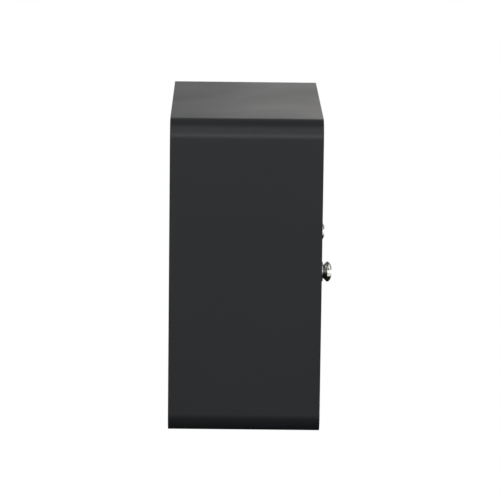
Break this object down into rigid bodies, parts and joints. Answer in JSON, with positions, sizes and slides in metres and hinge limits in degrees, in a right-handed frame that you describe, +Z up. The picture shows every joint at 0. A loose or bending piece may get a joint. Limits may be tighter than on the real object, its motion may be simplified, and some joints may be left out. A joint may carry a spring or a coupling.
{
  "type": "wall mounted soap dispenser",
  "caption": "Square-fronted wall cabinet in black coated steel with two polished push buttons, each working a soap pump and outlet under the box, behind a lockable door.",
  "frame": {"origin": "centre of the wall face, on the back plate", "axes": "+Y points into the wall and the front faces -Y; +Z is up; +X is to the right of a person who faces the front"},
  "size_m": [0.3, 0.1547, 0.304],
  "materials": {
    "powder_coated_steel": "satin black powder coat",
    "zinc_plated_steel": "zinc plated",
    "polished_steel": "polished",
    "nickel_plated_brass": "nickel plated",
    "tank_polyethylene": "translucent natural polyethylene",
    "lid_plastic": "fine texture",
    "pump_acetal": "moulded white acetal",
    "seal_rubber": "matte",
    "hose_vinyl": "clear flexible vinyl",
    "spring_steel": "bright drawn wire",
    "window_acrylic": "clear polished acrylic"
  },
  "bodies": {
    "cabinet": {"casing": "powder_coated_steel", "front_panel": "powder_coated_steel", "back_plate": "zinc_plated_steel", "tank_shelf": "zinc_plated_steel", "top_hinge_bracket": "zinc_plated_steel", "bottom_hinge_bracket": "zinc_plated_steel", "lock_catch": "zinc_plated_steel", "shelf_screw_1": "zinc_plated_steel", "shelf_screw_2": "zinc_plated_steel", "shelf_screw_3": "zinc_plated_steel", "shelf_screw_4": "zinc_plated_steel", "left_button_bush": "nickel_plated_brass", "left_bush_nut": "nickel_plated_brass", "left_pump_body": "pump_acetal", "left_inlet_valve": "seal_rubber", "left_return_spring": "spring_steel", "left_nozzle": "pump_acetal", "left_nozzle_nut": "pump_acetal", "left_drip_valve": "seal_rubber", "left_delivery_hose": "hose_vinyl", "left_feed_hose": "hose_vinyl", "left_tank": "tank_polyethylene", "left_lid_pin": "zinc_plated_steel", "right_button_bush": "nickel_plated_brass", "right_bush_nut": "nickel_plated_brass", "right_pump_body": "pump_acetal", "right_inlet_valve": "seal_rubber", "right_return_spring": "spring_steel", "right_nozzle": "pump_acetal", "right_nozzle_nut": "pump_acetal", "right_drip_valve": "seal_rubber", "right_delivery_hose": "hose_vinyl", "right_feed_hose": "hose_vinyl", "right_tank": "tank_polyethylene", "right_lid_pin": "zinc_plated_steel"},
    "door": {"door_panel": "powder_coated_steel", "top_hinge_pin": "zinc_plated_steel", "bottom_hinge_pin": "zinc_plated_steel", "lock_barrel": "nickel_plated_brass", "lock_nut": "nickel_plated_brass", "left_sight_window": "window_acrylic", "right_sight_window": "window_acrylic"},
    "lock": {"lock_plug": "nickel_plated_brass", "lock_cam": "zinc_plated_steel", "cam_screw": "zinc_plated_steel"},
    "left_plunger": {"left_button": "polished_steel", "left_stem": "zinc_plated_steel", "left_piston": "pump_acetal", "left_piston_seal": "seal_rubber"},
    "left_lid": {"left_filler_lid": "lid_plastic"},
    "right_plunger": {"right_button": "polished_steel", "right_stem": "zinc_plated_steel", "right_piston": "pump_acetal", "right_piston_seal": "seal_rubber"},
    "right_lid": {"right_filler_lid": "lid_plastic"}
  },
  "joints": [
    {"name": "door_swing", "type": "hinge", "parent": "cabinet", "child": "door", "pos_m": [0.0725, -0.1387, 0], "axis": [0, 0, 1], "range_deg": [0, 105]},
    {"name": "lock_turn", "type": "hinge", "parent": "door", "child": "lock", "pos_m": [-0.07, -0.1442, 0.06], "axis": [0, 1, 0], "range_deg": [0, 90]},
    {"name": "left_push", "type": "slide", "parent": "cabinet", "child": "left_plunger", "axis": [0, 1, 0], "range_m": [0, 0.008], "stiffness_N_per_m": 600, "springref_m": -0.015, "deforming": ["left_return_spring"]},
    {"name": "right_push", "type": "slide", "parent": "cabinet", "child": "right_plunger", "axis": [0, 1, 0], "range_m": [0, 0.008], "stiffness_N_per_m": 600, "springref_m": -0.015, "deforming": ["right_return_spring"]},
    {"name": "left_lid_flip", "type": "hinge", "parent": "cabinet", "child": "left_lid", "pos_m": [-0.042, -0.071, 0.088], "axis": [-1, 0, 0], "range_deg": [0, 95]},
    {"name": "right_lid_flip", "type": "hinge", "parent": "cabinet", "child": "right_lid", "pos_m": [0.042, -0.071, 0.088], "axis": [-1, 0, 0], "range_deg": [0, 95]}
  ]
}
